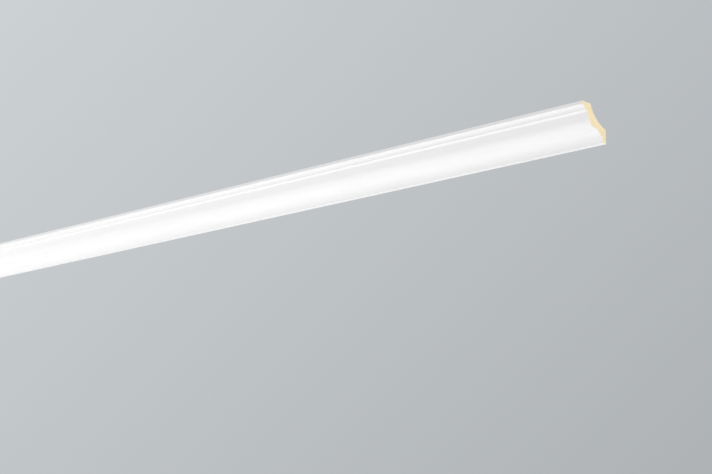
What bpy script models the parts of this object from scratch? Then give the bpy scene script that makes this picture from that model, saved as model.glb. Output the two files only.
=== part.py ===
"""One moulded length of ceiling cornice.

The section lies in the YZ plane and runs along X. The origin is the middle of the face that lies on the wall,
+Y points into the wall and +Z up to the ceiling. Both ends are cut square.
"""

import math

import bpy
from mathutils import Vector

# Size of the whole length, in metres
LENGTH = 2.0
HEIGHT = 0.070
PROJECTION = 0.076

# Front of the section, from the ceiling down
FASCIA_HEIGHT = 0.007
COVE_RADIUS = 0.010
COVE_SWEEP = math.radians(75)
STEP_LENGTH = 0.0011
LEDGE_WIDTH = 0.006
LEDGE_SLOPE = math.radians(22)
NECK_SLOPE = math.radians(70)
OVOLO_RADIUS = 0.024
OGEE_SLOPE = math.radians(8)
OGEE_SAG = 0.0018
CAVETTO_RADIUS = 0.030
TAIL_SLOPE = math.radians(74)
FOOT_THICKNESS = 0.0095

# Back of the section
CEILING_FACE_DEPTH = 0.0285
WALL_FACE_HEIGHT = 0.029
BACK_HOLLOW = 0.008

# Roundings of the edges and of the corner behind the ledge
ARRIS_RADIUS = 0.0008
LEDGE_EDGE_RADIUS = 0.0004
LEDGE_CORNER_RADIUS = 0.0006
BACK_EDGE_RADIUS = 0.0005

# How far a facet may leave the true arc, and how close two points count as one
CHORD_ERROR = 0.00002
SAME_POINT = 0.000001

# Finish of the primed foam
PRIMER_COLOUR = (0.88, 0.88, 0.875, 1.0)
PRIMER_ROUGHNESS = 0.55


def clear_scene():
    """Empty the file of its objects."""
    for thing in list(bpy.data.objects):
        bpy.data.objects.remove(thing, do_unlink=True)


def heading(slope):
    """Unit direction towards the wall, falling by the given slope."""
    return Vector((math.cos(slope), -math.sin(slope)))


def crossing(point_a, direction_a, point_b, direction_b):
    """Point where two lines of the section meet."""
    share = (point_b - point_a).cross(direction_b) / direction_a.cross(direction_b)
    return point_a + direction_a * share


def arc_steps(radius, turn):
    """Number of facets that keep an arc within the chord error."""
    step = 2 * math.acos(1 - min(CHORD_ERROR / radius, 1))
    return max(2, math.ceil(turn / step))


def hollow_arc(start, end, hollow):
    """Points between start and end on an arc that bows to the left of its chord."""
    chord = end - start
    half = chord.length / 2
    half_turn = 2 * math.atan(hollow / half)
    radius = half / math.sin(half_turn)
    side = Vector((-chord.y, chord.x)).normalized()
    centre = (start + end) / 2 - side * radius * math.cos(half_turn)
    steps = arc_steps(radius, 2 * half_turn)
    along = chord.normalized()
    points = []
    for index in range(1, steps):
        angle = half_turn * (2 * index / steps - 1)
        points.append(centre + (side * math.cos(angle) + along * math.sin(angle)) * radius)
    return points


def front_corners():
    """Corners of the moulded front with their roundings, from the ceiling edge to the foot."""
    top_front = Vector((-PROJECTION, HEIGHT - WALL_FACE_HEIGHT / 2))
    fascia_foot = top_front - Vector((0, FASCIA_HEIGHT))
    cove_reach = COVE_RADIUS * math.tan(COVE_SWEEP / 2)
    cove_corner = fascia_foot + heading(0) * (cove_reach + ARRIS_RADIUS)
    ledge_edge = cove_corner + heading(COVE_SWEEP) * (cove_reach + STEP_LENGTH)
    ledge_end = ledge_edge + heading(LEDGE_SLOPE) * LEDGE_WIDTH / math.cos(LEDGE_SLOPE)
    foot_front = Vector((-FOOT_THICKNESS, -WALL_FACE_HEIGHT / 2))
    middle = (ledge_end + foot_front) / 2 - Vector((0, OGEE_SAG))
    ovolo_corner = crossing(ledge_end, heading(NECK_SLOPE), middle, heading(OGEE_SLOPE))
    cavetto_corner = crossing(foot_front, heading(TAIL_SLOPE), middle, heading(OGEE_SLOPE))
    return [
        (top_front, ARRIS_RADIUS),
        (fascia_foot, ARRIS_RADIUS),
        (cove_corner, COVE_RADIUS),
        (ledge_edge, LEDGE_EDGE_RADIUS),
        (ledge_end, LEDGE_CORNER_RADIUS),
        (ovolo_corner, OVOLO_RADIUS),
        (cavetto_corner, CAVETTO_RADIUS),
        (foot_front, ARRIS_RADIUS),
    ]


def back_corners():
    """Corners of the hidden side with their roundings, from the foot up the wall and back to the ceiling."""
    foot_back = Vector((0, -WALL_FACE_HEIGHT / 2))
    wall_top = Vector((0, WALL_FACE_HEIGHT / 2))
    ceiling_back = Vector((CEILING_FACE_DEPTH - PROJECTION, HEIGHT - WALL_FACE_HEIGHT / 2))
    hollow = [(point, 0) for point in hollow_arc(wall_top, ceiling_back, BACK_HOLLOW)]
    edges = [(corner, BACK_EDGE_RADIUS) for corner in (foot_back, wall_top, ceiling_back)]
    return edges[:2] + hollow + edges[2:]


def corner_reaches(corners):
    """How far each rounding runs along its two sides, shortened where two would meet on one side."""
    count = len(corners)
    turns = []
    reaches = []
    for index, (corner, radius) in enumerate(corners):
        arriving = corner - corners[index - 1][0]
        leaving = corners[(index + 1) % count][0] - corner
        turns.append(arriving.angle_signed(leaving))
        reaches.append(radius * math.tan(abs(turns[index]) / 2))
    limits = [1.0] * count
    for index in range(count):
        following = (index + 1) % count
        side = (corners[following][0] - corners[index][0]).length
        wanted = reaches[index] + reaches[following]
        if wanted > side:
            limits[index] = min(limits[index], side / wanted)
            limits[following] = min(limits[following], side / wanted)
    return turns, [reach * limit for reach, limit in zip(reaches, limits)]


def rounded_outline(corners):
    """Points of the closed outline, with an arc in place of every corner that has a radius."""
    turns, reaches = corner_reaches(corners)
    points = []
    for index, (corner, _) in enumerate(corners):
        turn, reach = turns[index], reaches[index]
        if reach == 0:
            points.append(corner)
            continue
        radius = reach / math.tan(abs(turn) / 2)
        arriving = (corner - corners[index - 1][0]).normalized()
        start = corner - arriving * reach
        inward = Vector((arriving.y, -arriving.x)) * math.copysign(radius, turn)
        steps = arc_steps(radius, abs(turn))
        for step in range(steps + 1):
            swept = abs(turn) * step / steps
            points.append(start + inward * (1 - math.cos(swept)) + arriving * radius * math.sin(swept))
    last_points = points[-1:] + points[:-1]
    return [point for point, last in zip(points, last_points) if (point - last).length > SAME_POINT]


def primed_foam():
    """White primer on rigid foam."""
    material = bpy.data.materials.new("primed_foam")
    material.use_nodes = True
    shader = material.node_tree.nodes["Principled BSDF"]
    shader.inputs["Base Color"].default_value = PRIMER_COLOUR
    shader.inputs["Roughness"].default_value = PRIMER_ROUGHNESS
    shader.inputs["Metallic"].default_value = 0.0
    return material


def build_cornice(collection):
    """The section as a flat filled outline, drawn out along X."""
    outline = rounded_outline(front_corners() + back_corners())
    curve = bpy.data.curves.new("cornice", "CURVE")
    curve.dimensions = "2D"
    curve.fill_mode = "BOTH"
    curve.extrude = LENGTH / 2
    spline = curve.splines.new("POLY")
    spline.points.add(len(outline) - 1)
    for place, point in zip(spline.points, outline):
        place.co = (point.x, point.y, 0, 1)
    spline.use_cyclic_u = True
    curve.materials.append(primed_foam())
    cornice = bpy.data.objects.new("cornice", curve)
    cornice.rotation_euler = (math.pi / 2, 0, math.pi / 2)
    collection.objects.link(cornice)
    return cornice


def main():
    clear_scene()
    collection = bpy.data.collections.new("ceiling_cornice")
    bpy.context.scene.collection.children.link(collection)
    build_cornice(collection)


main()
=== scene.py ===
"""A moulded length of ceiling cornice in primed foam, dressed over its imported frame.

Metres throughout: +X along the length, +Y into the wall, +Z up to the ceiling, with the wall face on y = 0.
The section's named values and functions are those of the part's source, at a finer chord error.
"""

import math

import bpy
import numpy as np
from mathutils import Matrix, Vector, noise
from mathutils.geometry import delaunay_2d_cdt


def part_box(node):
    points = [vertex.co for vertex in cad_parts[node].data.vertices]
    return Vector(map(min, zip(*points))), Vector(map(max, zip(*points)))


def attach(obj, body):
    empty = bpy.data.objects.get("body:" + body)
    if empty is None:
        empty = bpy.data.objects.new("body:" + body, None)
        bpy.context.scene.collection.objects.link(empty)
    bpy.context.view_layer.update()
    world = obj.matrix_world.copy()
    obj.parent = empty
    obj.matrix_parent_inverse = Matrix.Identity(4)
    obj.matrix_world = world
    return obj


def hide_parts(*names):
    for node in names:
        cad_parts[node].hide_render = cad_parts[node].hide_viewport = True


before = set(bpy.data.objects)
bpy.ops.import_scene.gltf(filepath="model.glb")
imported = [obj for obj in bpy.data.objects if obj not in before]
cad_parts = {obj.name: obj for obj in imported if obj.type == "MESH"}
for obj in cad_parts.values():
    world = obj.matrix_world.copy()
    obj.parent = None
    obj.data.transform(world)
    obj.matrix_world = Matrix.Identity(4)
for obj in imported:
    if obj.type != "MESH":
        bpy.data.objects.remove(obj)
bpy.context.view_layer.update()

# Overall size, from the frame
LOW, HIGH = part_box("cornice")
HALF_LENGTH = (HIGH.x - LOW.x) / 2
PROJECTION = HIGH.y - LOW.y
CEILING_LEVEL = HIGH.z
FOOT_LEVEL = LOW.z

# Front of the section, from the ceiling down
FASCIA_HEIGHT = 0.007
COVE_RADIUS = 0.010
COVE_SWEEP = math.radians(75)
STEP_LENGTH = 0.0011
LEDGE_WIDTH = 0.006
LEDGE_SLOPE = math.radians(22)
NECK_SLOPE = math.radians(70)
OVOLO_RADIUS = 0.024
OGEE_SLOPE = math.radians(8)
OGEE_SAG = 0.0018
CAVETTO_RADIUS = 0.030
TAIL_SLOPE = math.radians(74)
FOOT_THICKNESS = 0.0095

# Back of the section
CEILING_FACE_DEPTH = 0.0285
BACK_HOLLOW = 0.008

# Roundings of the edges
ARRIS_RADIUS = 0.0008
LEDGE_EDGE_RADIUS = 0.0004
LEDGE_CORNER_RADIUS = 0.0006
BACK_EDGE_RADIUS = 0.0005

# Fineness of the visible mesh: along its outline, along its length, and on the cut faces
CHORD_ERROR = 0.000002
SAME_POINT = 0.000001
SKIN_PITCH = 0.0012
STATION_PITCH = 0.016
CUT_PITCH = 0.00048
CUT_JITTER = CUT_PITCH / 5
SMOOTH_ANGLE = math.radians(35)

# How the cut faces are filled: only inside the outline, with points closer than this many millimetres merged
FILL_INSIDE = 1
MERGE_DISTANCE = 0.0001

# The primer coat's thickness in section, and the finishes in the order of the mesh's materials
COAT_THICKNESS = 0.0003
PRIMED, MOULDED, SAWN = range(3)

# Unevenness from the mould: depth and length of its waves on the front and on the back, and their width
FRONT_WAVE = (0.00006, 0.19)
BACK_WAVE = (0.00025, 0.045)
WAVE_WIDTH = 0.03

# Pores of the saw cuts: the size of their cells, how far they reach in a cell, and their depth
PORE_PITCH = 0.0016
PORE_REACH = 0.42
PORE_DEPTH = 0.00022

# Larger bubbles of the saw cuts: their number, smallest and largest radius, and depth against the radius
BUBBLE_COUNT = 26
BUBBLE_RADII = (0.0007, 0.0015)
BUBBLE_SHARE = 0.45

# Saw lines: their pitch, depth and slope, and how they sway
SAW_PITCH = 0.0021
SAW_DEPTH = 0.00003
SAW_SLOPE = math.radians(20)
SAW_WANDER = 0.01
SAW_SWAY = 2

# How deep under the skin the foam takes its full core colour
CORE_DEPTH = 0.004

# Colours: pairs are the two tones that the mottle mixes
PRIMER_TONES = ((0.9, 0.9, 0.898), (0.925, 0.925, 0.923))
MOULDED_TONES = ((0.82, 0.71, 0.50), (0.87, 0.78, 0.59))
CORE_TONES = ((0.877, 0.722, 0.447), (0.906, 0.784, 0.518))
# Painted shade: the dark tone mixed into the pits of the foam's cells and bubbles
PAINTED_PIT_SHADE = (0.66, 0.50, 0.31)
MIST_TONE = (0.88, 0.88, 0.875)
FLOOR_TONE = (0.735, 0.735, 0.735)

# Roughness: pairs are its values at the low and the high end of what drives it
PRIMER_ROUGHNESS = (0.52, 0.62)
MOULDED_ROUGHNESS = (0.85, 0.7)
SAWN_ROUGHNESS = (0.95, 0.78)
FLOOR_ROUGHNESS = 0.9

# Shine of the finishes, as specular level
PRIMER_SHINE = 0.35
MOULDED_SHINE = 0.3
SAWN_SHINE = 0.2
FLOOR_SHINE = 0.3

# Soft patches of colour: how far they are drawn out along X, their length and their contrast
PRIMER_PATCHES = (4.0, 0.05, 1.6)
MOULDED_PATCHES = (2.5, 0.03, 2.2)
SAWN_PATCHES = (1.0, 0.02, 2.0)

# Grain: the size of the primer's orange peel and of the foam's cells, and how far their pits sink
PRIMER_GRAIN = (0.0014, 0.05)
MOULDED_GRAIN = (0.0007, 0.3)
SAWN_GRAIN = (0.0007, 0.5)

# Distance from a cell's middle at which a pit starts, and at which it is full
PIT_RIM = (0.45, 0.1)

# Open bubbles: their spacing, the share of places that hold one, and their reach in their place
PINHOLES = (0.009, 0.5, 0.09)
SAWN_BUBBLES = (0.0028, 0.4, 0.22)

# The smallest open bubble as a share of its reach, and the shares of its radius between which its edge slopes
LEAST_BUBBLE = 0.4
BUBBLE_RIM = (1.0, 0.5)

# Depth of a pinhole against the height of the grain
PINHOLE_HEIGHT = 3.0

# How strongly painted shade darkens the foam in its small cells and in its open bubbles
MOULDED_PIT_SHADING = (0.2, 0.7)
SAWN_PIT_SHADING = (0.35, 0.4)

# Relief of the grain: its depth and strength
PRIMER_RELIEF = (0.00003, 0.6)
MOULDED_RELIEF = (0.0001, 0.7)
SAWN_RELIEF = (0.00025, 0.8)

# Primer mist past the front edges: its reach on the ceiling face and on the wall face, and its ragged end
MIST_ON_CEILING = 0.011
MIST_ON_WALL = 0.007
MIST_RAGGEDNESS = 0.012
MIST_FINENESS = 160.0

# Camera of the photograph's view
LENS = 80
SENSOR = 36
CAMERA_PLACE = (2.643, -2.435, -0.8185)
CAMERA_AZIMUTH = math.radians(43.31)
CAMERA_ELEVATION = math.radians(12.15)

# Studio: a floor far below, even light all round, and a backdrop that darkens to the lower right
FLOOR_LEVEL = -8
FLOOR_RADIUS = 150
FLOOR_SIDES = 96
AIR_LIGHT = (0.749, 0.749, 0.749)
BACKDROP_TONES = ((0.398, 0.418, 0.433), (0.634, 0.665, 0.688))
BACKDROP_SLOPE = (-0.162, -0.232, 0.268)
BACKDROP_RANGE = 0.13

# Soft boxes: place, aim, width and height, and power in watts
SOFT_BOXES = {
    "front_left_light": ((-3.0, -1.6, -0.6), (-0.6, -0.04, 0.0), (1.8, 1.6), 24),
    "low_light": ((0.16, -0.4, -2.2), (0.16, -0.04, 0.0), (3.0, 1.4), 25.5),
    "low_left_light": ((-1.2, -0.4, -2.2), (-1.0, -0.04, 0.0), (2.4, 1.4), 5.5),
    "end_light": ((3.4, 0.2, -0.3), (1.0, -0.03, 0.02), (1.2, 1.2), 24),
}


# Section

def heading(slope):
    """Unit direction towards the wall, falling by the given slope."""
    return Vector((math.cos(slope), -math.sin(slope)))


def crossing(point_a, direction_a, point_b, direction_b):
    """Point where two lines of the section meet."""
    share = (point_b - point_a).cross(direction_b) / direction_a.cross(direction_b)
    return point_a + direction_a * share


def arc_steps(radius, turn):
    """Number of facets that keep an arc within the chord error."""
    step = 2 * math.acos(1 - min(CHORD_ERROR / radius, 1))
    return max(2, math.ceil(turn / step))


def hollow_arc(start, end, hollow):
    """Points between start and end on an arc that bows to the left of its chord."""
    chord = end - start
    half = chord.length / 2
    half_turn = 2 * math.atan(hollow / half)
    radius = half / math.sin(half_turn)
    side = Vector((-chord.y, chord.x)).normalized()
    centre = (start + end) / 2 - side * radius * math.cos(half_turn)
    steps = arc_steps(radius, 2 * half_turn)
    along = chord.normalized()
    points = []
    for index in range(1, steps):
        angle = half_turn * (2 * index / steps - 1)
        points.append(centre + (side * math.cos(angle) + along * math.sin(angle)) * radius)
    return points


def front_corners():
    """Corners of the moulded front with their roundings, from the ceiling edge to the foot."""
    top_front = Vector((-PROJECTION, CEILING_LEVEL))
    fascia_foot = top_front - Vector((0, FASCIA_HEIGHT))
    cove_reach = COVE_RADIUS * math.tan(COVE_SWEEP / 2)
    cove_corner = fascia_foot + heading(0) * (cove_reach + ARRIS_RADIUS)
    ledge_edge = cove_corner + heading(COVE_SWEEP) * (cove_reach + STEP_LENGTH)
    ledge_end = ledge_edge + heading(LEDGE_SLOPE) * LEDGE_WIDTH / math.cos(LEDGE_SLOPE)
    foot_front = Vector((-FOOT_THICKNESS, FOOT_LEVEL))
    middle = (ledge_end + foot_front) / 2 - Vector((0, OGEE_SAG))
    ovolo_corner = crossing(ledge_end, heading(NECK_SLOPE), middle, heading(OGEE_SLOPE))
    cavetto_corner = crossing(foot_front, heading(TAIL_SLOPE), middle, heading(OGEE_SLOPE))
    return [
        (top_front, ARRIS_RADIUS),
        (fascia_foot, ARRIS_RADIUS),
        (cove_corner, COVE_RADIUS),
        (ledge_edge, LEDGE_EDGE_RADIUS),
        (ledge_end, LEDGE_CORNER_RADIUS),
        (ovolo_corner, OVOLO_RADIUS),
        (cavetto_corner, CAVETTO_RADIUS),
        (foot_front, ARRIS_RADIUS),
    ]


def back_corners():
    """Corners of the hidden side with their roundings, from the foot up the wall and back to the ceiling."""
    foot_back = Vector((0, FOOT_LEVEL))
    wall_top = Vector((0, -FOOT_LEVEL))
    ceiling_back = Vector((CEILING_FACE_DEPTH - PROJECTION, CEILING_LEVEL))
    hollow = [(point, 0) for point in hollow_arc(wall_top, ceiling_back, BACK_HOLLOW)]
    edges = [(corner, BACK_EDGE_RADIUS) for corner in (foot_back, wall_top, ceiling_back)]
    return edges[:2] + hollow + edges[2:]


def corner_reaches(corners):
    """How far each rounding runs along its two sides, shortened where two would meet on one side."""
    count = len(corners)
    turns = []
    reaches = []
    for index, (corner, radius) in enumerate(corners):
        arriving = corner - corners[index - 1][0]
        leaving = corners[(index + 1) % count][0] - corner
        turns.append(arriving.angle_signed(leaving))
        reaches.append(radius * math.tan(abs(turns[index]) / 2))
    limits = [1.0] * count
    for index in range(count):
        following = (index + 1) % count
        side = (corners[following][0] - corners[index][0]).length
        wanted = reaches[index] + reaches[following]
        if wanted > side:
            limits[index] = min(limits[index], side / wanted)
            limits[following] = min(limits[following], side / wanted)
    return turns, [reach * limit for reach, limit in zip(reaches, limits)]


def rounded_outline(corners):
    """Points of the closed outline, with an arc in place of every corner that has a radius."""
    turns, reaches = corner_reaches(corners)
    points = []
    for index, (corner, _) in enumerate(corners):
        turn, reach = turns[index], reaches[index]
        if reach == 0:
            points.append(corner)
            continue
        radius = reach / math.tan(abs(turn) / 2)
        arriving = (corner - corners[index - 1][0]).normalized()
        start = corner - arriving * reach
        inward = Vector((arriving.y, -arriving.x)) * math.copysign(radius, turn)
        steps = arc_steps(radius, abs(turn))
        for step in range(steps + 1):
            swept = abs(turn) * step / steps
            points.append(start + inward * (1 - math.cos(swept)) + arriving * radius * math.sin(swept))
    last_points = points[-1:] + points[:-1]
    return [point for point, last in zip(points, last_points) if (point - last).length > SAME_POINT]


def evened_outline():
    """The outline with its long stretches divided, and a mark on each stretch that is primed."""
    points = rounded_outline(front_corners() + back_corners())
    evened = []
    for point, following in zip(points, points[1:] + points[:1]):
        parts = math.ceil((following - point).length / SKIN_PITCH)
        evened += [point.lerp(following, part / parts) for part in range(parts)]
    outline = np.array([tuple(point) for point in evened])
    middles = (outline + np.roll(outline, -1, axis=0)) / 2
    below_ceiling = middles[:, 1] < CEILING_LEVEL - COAT_THICKNESS / 4
    on_wall = middles[:, 0] > -BACK_EDGE_RADIUS / 4
    primed = np.zeros(len(outline), bool)
    primed[np.argmax(below_ceiling):np.argmax(on_wall)] = True
    return outline, primed


def outline_normals(outline):
    """Outward unit normals at the outline's points."""
    along = np.roll(outline, -1, axis=0) - np.roll(outline, 1, axis=0)
    along /= np.linalg.norm(along, axis=1)[:, None]
    return np.stack([along[:, 1], -along[:, 0]], axis=1)


def depth_below(outline, points):
    """Distance of section points from the outline."""
    nearest = np.full(len(points), PROJECTION)
    for start, step in zip(outline, np.roll(outline, -1, axis=0) - outline):
        share = np.clip((points - start) @ step / (step @ step), 0, 1)
        nearest = np.minimum(nearest, np.linalg.norm(points - start - share[:, None] * step, axis=1))
    return nearest


def is_inside(outline, points):
    """True for section points within the outline, found by counting how often it crosses their level."""
    inside = np.zeros(len(points), bool)
    for (y, z), (next_y, next_z) in zip(outline, np.roll(outline, -1, axis=0)):
        if z == next_z:
            continue
        between = (z > points[:, 1]) != (next_z > points[:, 1])
        inside ^= between & (points[:, 0] < y + (points[:, 1] - z) * (next_y - y) / (next_z - z))
    return inside


# Saw cuts

def cut_grid(outline, chance):
    """Loose triangular grid of points over a cut face, clear of the primer coat."""
    low, high = outline.min(axis=0), outline.max(axis=0)
    rows = np.arange(low[1], high[1], CUT_PITCH * math.sqrt(3) / 2)
    columns = np.arange(low[0], high[0], CUT_PITCH)
    points = []
    for row, level in enumerate(rows):
        points += [(column + CUT_PITCH / 2 * (row % 2), level) for column in columns]
    points = np.array(points) + chance.uniform(-CUT_JITTER, CUT_JITTER, (len(points), 2))
    points = points[is_inside(outline, points)]
    return points[depth_below(outline, points) > COAT_THICKNESS + CUT_PITCH / 2]


def cut_face(outline, primed, chance):
    """A cut face: the points added to it, its triangles over the outline and those, and the primed ones."""
    count = len(outline)
    coat = (outline - outline_normals(outline) * COAT_THICKNESS)[primed]
    loose = np.concatenate([outline, coat, cut_grid(outline, chance)])
    millimetres = [Vector(point) for point in loose * 1000]
    coat_line = [(count + index, count + index + 1) for index in range(len(coat) - 1)]
    edge = [list(range(count))]
    filled = delaunay_2d_cdt(millimetres, coat_line, edge, FILL_INSIDE, MERGE_DISTANCE, True)
    places, _, triangles, sources, _, _ = filled
    numbers = []
    added = []
    for place, source in zip(places, sources):
        on_outline = bool(source) and source[0] < count
        numbers.append(source[0] if on_outline else count + len(added))
        if not on_outline:
            added.append(tuple(place / 1000))
    added = np.array(added)
    triangles = np.array(numbers)[np.array(triangles)]
    everything = np.concatenate([outline, added])
    triangles = triangles[is_inside(outline, everything[triangles].mean(axis=1))]
    coat_band = np.concatenate([outline[primed], coat[::-1]])
    return added, triangles, is_inside(coat_band, everything[triangles].mean(axis=1))


def pore_depths(points, cut):
    """Depth of the small pores that the saw opened, in cells of uneven size."""
    sunk = []
    for y, z in points:
        nearest = noise.voronoi(Vector((y / PORE_PITCH, z / PORE_PITCH, cut)))[0][0]
        openness = max(0.0, 1 - nearest / PORE_REACH)
        sunk.append(PORE_DEPTH * openness * openness * (3 - 2 * openness))
    return np.array(sunk)


def saw_depths(points, cut):
    """Depth of the faint lines that the saw left, a little crooked."""
    sunk = []
    for y, z in points:
        wander = noise.noise(Vector((y / SAW_WANDER, z / SAW_WANDER, cut)))
        across = (z * math.cos(SAW_SLOPE) + y * math.sin(SAW_SLOPE)) / SAW_PITCH
        sunk.append(SAW_DEPTH * (0.5 + 0.5 * math.sin(2 * math.pi * across + SAW_SWAY * wander)))
    return np.array(sunk)


def bubble_depths(points, chance):
    """Depth of the few larger bubbles."""
    sunk = np.zeros(len(points))
    for centre in points[chance.integers(len(points), size=BUBBLE_COUNT)]:
        radius = chance.uniform(*BUBBLE_RADII)
        gap = np.minimum(np.linalg.norm(points - centre, axis=1) / radius, 1)
        sunk = np.maximum(sunk, BUBBLE_SHARE * radius * (1 - gap**2) ** 1.5)
    return sunk


def cut_end(ring, primed, side):
    """The saw cut at one end of the length: added points, their depth in the core, triangles and finishes."""
    chance = np.random.default_rng(side + 1)
    added, triangles, coated = cut_face(ring, primed, chance)
    depths = depth_below(ring, added)
    sunk = pore_depths(added, side) + saw_depths(added, side) + bubble_depths(added, chance)
    sunk *= np.clip((depths - COAT_THICKNESS) / CUT_PITCH, 0, 1)
    corners = np.concatenate([ring, added])[triangles]
    spans = corners[:, 1:] - corners[:, :1]
    faces_in = (spans[:, 0, 0] * spans[:, 1, 1] - spans[:, 0, 1] * spans[:, 1, 0]) * side < 0
    triangles[faces_in] = triangles[faces_in][:, ::-1]
    places = np.column_stack([side * (HALF_LENGTH - sunk), added])
    return places, np.clip(depths / CORE_DEPTH, 0, 1), triangles, np.where(coated, PRIMED, SAWN)


# The whole length

def skin_rings(outline, primed):
    """Rings of points along the length, a little uneven except on the fascia, foot and contact faces."""
    normals = outline_normals(outline)
    places = np.linspace(-HALF_LENGTH, HALF_LENGTH, round(2 * HALF_LENGTH / STATION_PITCH) + 1)
    rings = np.zeros((len(places), len(outline), 3))
    for column, (y, z) in enumerate(outline):
        is_flat = min(-y, y + PROJECTION, CEILING_LEVEL - z, z - FOOT_LEVEL) < SAME_POINT
        depth, length = FRONT_WAVE if primed[column] else BACK_WAVE
        for row, x in enumerate(places):
            wave = noise.noise(Vector((x / length, y / WAVE_WIDTH, z / WAVE_WIDTH)))
            sunk = 0 if is_flat else depth * (0.5 + 0.5 * wave)
            rings[row, column] = (x, y - normals[column, 0] * sunk, z - normals[column, 1] * sunk)
    return rings


def skin_faces(rows, count):
    """Four-sided faces between neighbouring rings."""
    faces = []
    for first in range(0, (rows - 1) * count, count):
        for column in range(count):
            following = (column + 1) % count
            second = first + count
            faces.append((first + column, first + following, second + following, second + column))
    return faces


def build_cornice():
    """The whole length as one closed mesh: its moulded skin and a saw cut at each end."""
    outline, primed = evened_outline()
    rings = skin_rings(outline, primed)
    rows, count = rings.shape[:2]
    points = [rings.reshape(-1, 3)]
    core = [np.zeros(rows * count)]
    faces = skin_faces(rows, count)
    finishes = list(np.where(primed, PRIMED, MOULDED)) * (rows - 1)
    total = rows * count
    for side, row in ((-1, 0), (1, rows - 1)):
        places, depths, triangles, cut_finishes = cut_end(rings[row][:, 1:], primed, side)
        numbers = np.where(triangles < count, triangles + row * count, triangles - count + total)
        points.append(places)
        core.append(depths)
        faces += numbers.tolist()
        finishes += list(cut_finishes)
        total += len(places)
    mesh = bpy.data.meshes.new("primed_cornice")
    mesh.from_pydata(np.concatenate(points).tolist(), [], faces)
    mesh.polygons.foreach_set("material_index", finishes)
    mesh.attributes.new("core", "FLOAT", "POINT").data.foreach_set("value", np.concatenate(core))
    mesh.shade_smooth()
    mesh.set_sharp_from_angle(angle=SMOOTH_ANGLE)
    cornice = bpy.data.objects.new("primed_cornice", mesh)
    bpy.context.scene.collection.objects.link(cornice)
    return cornice


# Helpers for the finishes

def add_node(tree, kind, values=None, **settings):
    """A node of the given kind, with its settings and unlinked inputs filled in."""
    made = tree.nodes.new(kind)
    for name, value in settings.items():
        setattr(made, name, value)
    for name, value in (values or {}).items():
        made.inputs[name].default_value = value
    return made


def feed(tree, socket, value):
    """Gives a socket its value: another socket, a number or a colour."""
    if isinstance(value, bpy.types.NodeSocket):
        tree.links.new(value, socket)
    else:
        socket.default_value = (*value, 1.0) if isinstance(value, tuple) else value


def maths(tree, operation, first, second, **settings):
    """A sum, product or the like of two values."""
    made = add_node(tree, "ShaderNodeMath", operation=operation, **settings)
    feed(tree, made.inputs[0], first)
    feed(tree, made.inputs[1], second)
    return made.outputs["Value"]


def spread(tree, value, start=0.0, stop=1.0, low=0.0, high=1.0, **settings):
    """A value that runs from start to stop, turned into one from low to high."""
    limits = {"From Min": start, "From Max": stop, "To Min": low, "To Max": high}
    made = add_node(tree, "ShaderNodeMapRange", limits, **settings)
    feed(tree, made.inputs["Value"], value)
    return made.outputs["Result"]


def mixed(tree, mask, first, second):
    """Colour between two by a mask."""
    made = add_node(tree, "ShaderNodeMix", data_type="RGBA")
    feed(tree, made.inputs["Factor"], mask)
    feed(tree, made.inputs[6], first)
    feed(tree, made.inputs[7], second)
    return made.outputs[2]


def between(tree, mask, pair):
    """A mask turned into values from the first to the second of a pair."""
    return spread(tree, mask, low=pair[0], high=pair[1])


def relief(tree, height, pair):
    """Bump normal from a height, with its depth and strength."""
    made = add_node(tree, "ShaderNodeBump", {"Distance": pair[0], "Strength": pair[1]})
    feed(tree, made.inputs["Height"], height)
    return made.outputs["Normal"]


def own_place(tree, stretch=1.0):
    """The surface's own place in metres, drawn out along X."""
    coordinates = tree.nodes.new("ShaderNodeTexCoord")
    made = add_node(tree, "ShaderNodeMapping", {"Scale": (1 / stretch, 1.0, 1.0)})
    feed(tree, made.inputs["Vector"], coordinates.outputs["Object"])
    return made.outputs["Vector"]


def new_group(name, inputs, outputs):
    """A shader node group with a place and number sockets, and its own input and output."""
    group = bpy.data.node_groups.new(name, "ShaderNodeTree")
    group.interface.new_socket("Place", in_out="INPUT", socket_type="NodeSocketVector")
    for label, value in inputs.items():
        group.interface.new_socket(label, in_out="INPUT", socket_type="NodeSocketFloat").default_value = value
    for label in outputs:
        group.interface.new_socket(label, in_out="OUTPUT", socket_type="NodeSocketFloat")
    return group, group.nodes.new("NodeGroupInput").outputs, group.nodes.new("NodeGroupOutput").inputs


def use_group(tree, group, place, values):
    """Outputs of a group that is used in a material, with its values in the order of its inputs."""
    made = tree.nodes.new("ShaderNodeGroup")
    made.node_tree = group
    feed(tree, made.inputs["Place"], place)
    for socket, value in zip(made.inputs[1:], values):
        socket.default_value = value
    return made.outputs


def slow_mottle():
    """Group: broad soft patches, as a mask from 0 to 1."""
    group, given, result = new_group("slow_mottle", {"Patch Length": 0.08, "Contrast": 1.0}, ["Mask"])
    patches = add_node(group, "ShaderNodeTexNoise", {"Detail": 3.0, "Roughness": 0.55})
    feed(group, patches.inputs["Vector"], given["Place"])
    feed(group, patches.inputs["Scale"], maths(group, "DIVIDE", 1.0, given["Patch Length"]))
    centred = maths(group, "SUBTRACT", patches.outputs["Fac"], 0.5)
    stronger = maths(group, "MULTIPLY", centred, given["Contrast"])
    feed(group, result["Mask"], maths(group, "ADD", stronger, 0.5, use_clamp=True))
    return group


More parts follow.
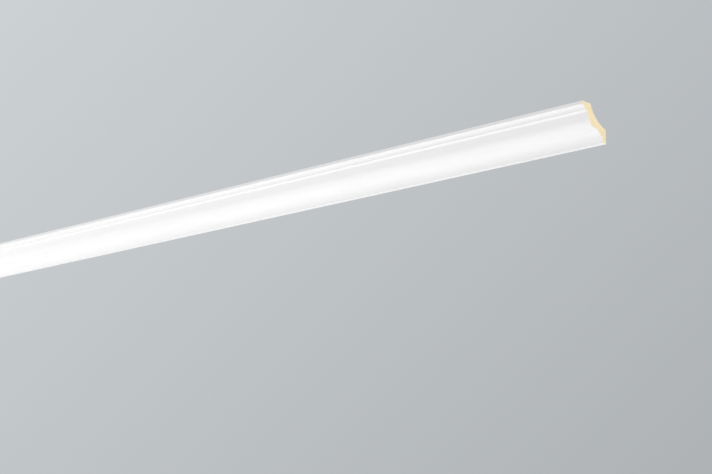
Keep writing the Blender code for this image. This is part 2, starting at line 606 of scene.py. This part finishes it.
def fine_grain():
    """Group: fine surface grain as a height, and a mask of its small pits."""
    sizes = {"Grain Size": 0.001, "Pit Share": 0.3}
    group, given, result = new_group("fine_grain", sizes, ["Height", "Pits"])
    grain = add_node(group, "ShaderNodeTexNoise", {"Detail": 2.0, "Roughness": 0.6})
    cells = add_node(group, "ShaderNodeTexVoronoi", feature="F1")
    scale = maths(group, "DIVIDE", 1.0, given["Grain Size"])
    for texture in (grain, cells):
        feed(group, texture.inputs["Vector"], given["Place"])
        feed(group, texture.inputs["Scale"], scale)
    pits = spread(group, cells.outputs["Distance"], *PIT_RIM, interpolation_type="SMOOTHSTEP")
    sunk = maths(group, "MULTIPLY", pits, given["Pit Share"])
    feed(group, result["Height"], maths(group, "SUBTRACT", grain.outputs["Fac"], sunk))
    feed(group, result["Pits"], pits)
    return group


def scattered_bubbles():
    """Group: round bubbles of uneven size, open in only some of the cells of a wide grid, as a mask."""
    sizes = {"Spacing": 0.008, "Share": 0.3, "Reach": 0.1}
    group, given, result = new_group("scattered_bubbles", sizes, ["Mask"])
    cells = add_node(group, "ShaderNodeTexVoronoi", feature="F1")
    feed(group, cells.inputs["Vector"], given["Place"])
    feed(group, cells.inputs["Scale"], maths(group, "DIVIDE", 1.0, given["Spacing"]))
    odds = group.nodes.new("ShaderNodeSeparateColor")
    feed(group, odds.inputs["Color"], cells.outputs["Color"])
    uneven_size = maths(group, "ADD", odds.outputs["Green"], LEAST_BUBBLE)
    reach = maths(group, "MULTIPLY", given["Reach"], uneven_size)
    share_out = maths(group, "DIVIDE", cells.outputs["Distance"], reach)
    round_mask = spread(group, share_out, *BUBBLE_RIM, interpolation_type="SMOOTHSTEP")
    is_open = maths(group, "LESS_THAN", odds.outputs["Red"], given["Share"])
    feed(group, result["Mask"], maths(group, "MULTIPLY", round_mask, is_open))
    return group


def new_finish(name, shine):
    """A material, its node tree and the inputs of its shader."""
    material = bpy.data.materials.new(name)
    material.use_nodes = True
    shader = material.node_tree.nodes["Principled BSDF"]
    shader.inputs["Metallic"].default_value = 0.0
    shader.inputs["Specular IOR Level"].default_value = shine
    return material, material.node_tree, shader.inputs


def patch_mask(tree, mottle, patches):
    """Mask of a finish's soft patches."""
    stretch, *values = patches
    return use_group(tree, mottle, own_place(tree, stretch), values)["Mask"]


# Finishes

def white_primer(mottle, grain):
    """Sprayed white primer: even and low in sheen, with a faint orange peel."""
    material, tree, shader = new_finish("white_primer", PRIMER_SHINE)
    patches = patch_mask(tree, mottle, PRIMER_PATCHES)
    peel = use_group(tree, grain, own_place(tree), PRIMER_GRAIN)
    feed(tree, shader["Base Color"], mixed(tree, patches, *PRIMER_TONES))
    feed(tree, shader["Roughness"], between(tree, patches, PRIMER_ROUGHNESS))
    feed(tree, shader["Normal"], relief(tree, peel["Height"], PRIMER_RELIEF))
    return material


def primer_mist(tree, place):
    """Mask of the primer mist that reached past the front edges onto the ceiling face and the wall face."""
    parts = tree.nodes.new("ShaderNodeSeparateXYZ")
    ragged = add_node(tree, "ShaderNodeTexNoise", {"Scale": MIST_FINENESS, "Detail": 4.0, "Roughness": 0.7})
    for made in (parts, ragged):
        feed(tree, made.inputs["Vector"], place)
    wander = maths(tree, "MULTIPLY", ragged.outputs["Fac"], MIST_RAGGEDNESS)
    masks = []
    for axis, edge, reach in (("Y", -PROJECTION, MIST_ON_CEILING), ("Z", FOOT_LEVEL, MIST_ON_WALL)):
        start = edge + MIST_RAGGEDNESS / 2
        masks.append(spread(tree, maths(tree, "ADD", parts.outputs[axis], wander), start + reach, start))
    return maths(tree, "MAXIMUM", *masks)


def with_painted_pit_shade(tree, body, cells, bubbles, darkening):
    """A foam's colour, with painted shade darkening its small cells and its open bubbles."""
    cell_shade = maths(tree, "MULTIPLY", cells["Pits"], darkening[0])
    bubble_shade = maths(tree, "MULTIPLY", bubbles["Mask"], darkening[1])
    return mixed(tree, bubble_shade, mixed(tree, cell_shade, body, PAINTED_PIT_SHADE), PAINTED_PIT_SHADE)


def moulded_foam(mottle, grain, bubbles):
    """Bare moulded skin of the back: cream, a little patchy, with pinholes darkened by painted shade and a
    margin of primer mist.
    """
    material, tree, shader = new_finish("moulded_foam", MOULDED_SHINE)
    place = own_place(tree)
    body = mixed(tree, patch_mask(tree, mottle, MOULDED_PATCHES), *MOULDED_TONES)
    cells = use_group(tree, grain, place, MOULDED_GRAIN)
    pinholes = use_group(tree, bubbles, place, PINHOLES)
    # The cells and pinholes get painted shade in their pits
    skin = with_painted_pit_shade(tree, body, cells, pinholes, MOULDED_PIT_SHADING)
    feed(tree, shader["Base Color"], mixed(tree, primer_mist(tree, place), skin, MIST_TONE))
    feed(tree, shader["Roughness"], between(tree, cells["Height"], MOULDED_ROUGHNESS))
    sunk = maths(tree, "MULTIPLY", pinholes["Mask"], PINHOLE_HEIGHT)
    height = maths(tree, "SUBTRACT", cells["Height"], sunk)
    feed(tree, shader["Normal"], relief(tree, height, MOULDED_RELIEF))
    return material


def sawn_foam(mottle, grain, bubbles):
    """Saw-cut foam: cream under the skin, warmer in the core, with open cells and bubbles darkened by painted
    shade.
    """
    material, tree, shader = new_finish("sawn_foam", SAWN_SHINE)
    place = own_place(tree)
    patches = patch_mask(tree, mottle, SAWN_PATCHES)
    cells = use_group(tree, grain, place, SAWN_GRAIN)
    sawn_bubbles = use_group(tree, bubbles, place, SAWN_BUBBLES)
    core_share = add_node(tree, "ShaderNodeAttribute", attribute_name="core").outputs["Fac"]
    rim = mixed(tree, patches, *MOULDED_TONES)
    core = mixed(tree, patches, *CORE_TONES)
    body = mixed(tree, core_share, rim, core)
    # The cells and bubbles get painted shade in their pits
    feed(tree, shader["Base Color"], with_painted_pit_shade(tree, body, cells, sawn_bubbles, SAWN_PIT_SHADING))
    feed(tree, shader["Roughness"], between(tree, cells["Height"], SAWN_ROUGHNESS))
    height = maths(tree, "SUBTRACT", cells["Height"], sawn_bubbles["Mask"])
    feed(tree, shader["Normal"], relief(tree, height, SAWN_RELIEF))
    return material


def dress_cornice():
    """The visible cornice with its finishes, in place of the plain solid."""
    mottle, grain, bubbles = slow_mottle(), fine_grain(), scattered_bubbles()
    cornice = build_cornice()
    cornice.data.materials.append(white_primer(mottle, grain))
    cornice.data.materials.append(moulded_foam(mottle, grain, bubbles))
    cornice.data.materials.append(sawn_foam(mottle, grain, bubbles))
    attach(cornice, "root")
    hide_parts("cornice")


# Studio

def build_floor():
    """Plain pale floor, far below."""
    centre = (0, 0, FLOOR_LEVEL)
    bpy.ops.mesh.primitive_circle_add(
        vertices=FLOOR_SIDES, radius=FLOOR_RADIUS, fill_type="NGON", location=centre
    )
    floor = bpy.context.object
    floor.name = "floor"
    material, _, shader = new_finish("pale_floor", FLOOR_SHINE)
    shader["Base Color"].default_value = (*FLOOR_TONE, 1.0)
    shader["Roughness"].default_value = FLOOR_ROUGHNESS
    floor.data.materials.append(material)


def build_light(name, place, aim, size, power):
    """A soft box that faces its aim and isn't seen itself."""
    lamp = bpy.data.lights.new(name, "AREA")
    lamp.shape = "RECTANGLE"
    lamp.size, lamp.size_y = size
    lamp.energy = power
    box = bpy.data.objects.new(name, lamp)
    box.location = place
    box.rotation_euler = (Vector(aim) - Vector(place)).to_track_quat("-Z", "Y").to_euler()
    box.visible_camera = False
    bpy.context.scene.collection.objects.link(box)


def build_air():
    """Even soft light all round, and the backdrop that only the camera sees."""
    world = bpy.data.worlds.new("studio")
    bpy.context.scene.world = world
    world.use_nodes = True
    tree = world.node_tree
    around = tree.nodes["Background"]
    around.inputs["Color"].default_value = (*AIR_LIGHT, 1.0)
    direction = tree.nodes.new("ShaderNodeTexCoord")
    slope = add_node(tree, "ShaderNodeVectorMath", {1: BACKDROP_SLOPE}, operation="DOT_PRODUCT")
    feed(tree, slope.inputs[0], direction.outputs["Generated"])
    shade = spread(tree, slope.outputs["Value"], -BACKDROP_RANGE, BACKDROP_RANGE)
    backdrop = tree.nodes.new("ShaderNodeBackground")
    feed(tree, backdrop.inputs["Color"], mixed(tree, shade, *BACKDROP_TONES))
    either = tree.nodes.new("ShaderNodeMixShader")
    feed(tree, either.inputs["Fac"], tree.nodes.new("ShaderNodeLightPath").outputs["Is Camera Ray"])
    feed(tree, either.inputs[1], around.outputs["Background"])
    feed(tree, either.inputs[2], backdrop.outputs["Background"])
    feed(tree, tree.nodes["World Output"].inputs["Surface"], either.outputs["Shader"])


def build_camera():
    """The photograph's view: low, from the right, looking up along the wall."""
    lens = bpy.data.cameras.new("camera")
    lens.lens = LENS
    lens.sensor_width = SENSOR
    camera = bpy.data.objects.new("camera", lens)
    camera.location = CAMERA_PLACE
    camera.rotation_euler = (math.pi / 2 + CAMERA_ELEVATION, 0, CAMERA_AZIMUTH)
    bpy.context.scene.collection.objects.link(camera)
    bpy.context.scene.camera = camera


bpy.context.scene.view_settings.view_transform = "Standard"
build_camera()
build_air()
build_floor()
for light_name, settings in SOFT_BOXES.items():
    build_light(light_name, *settings)
dress_cornice()
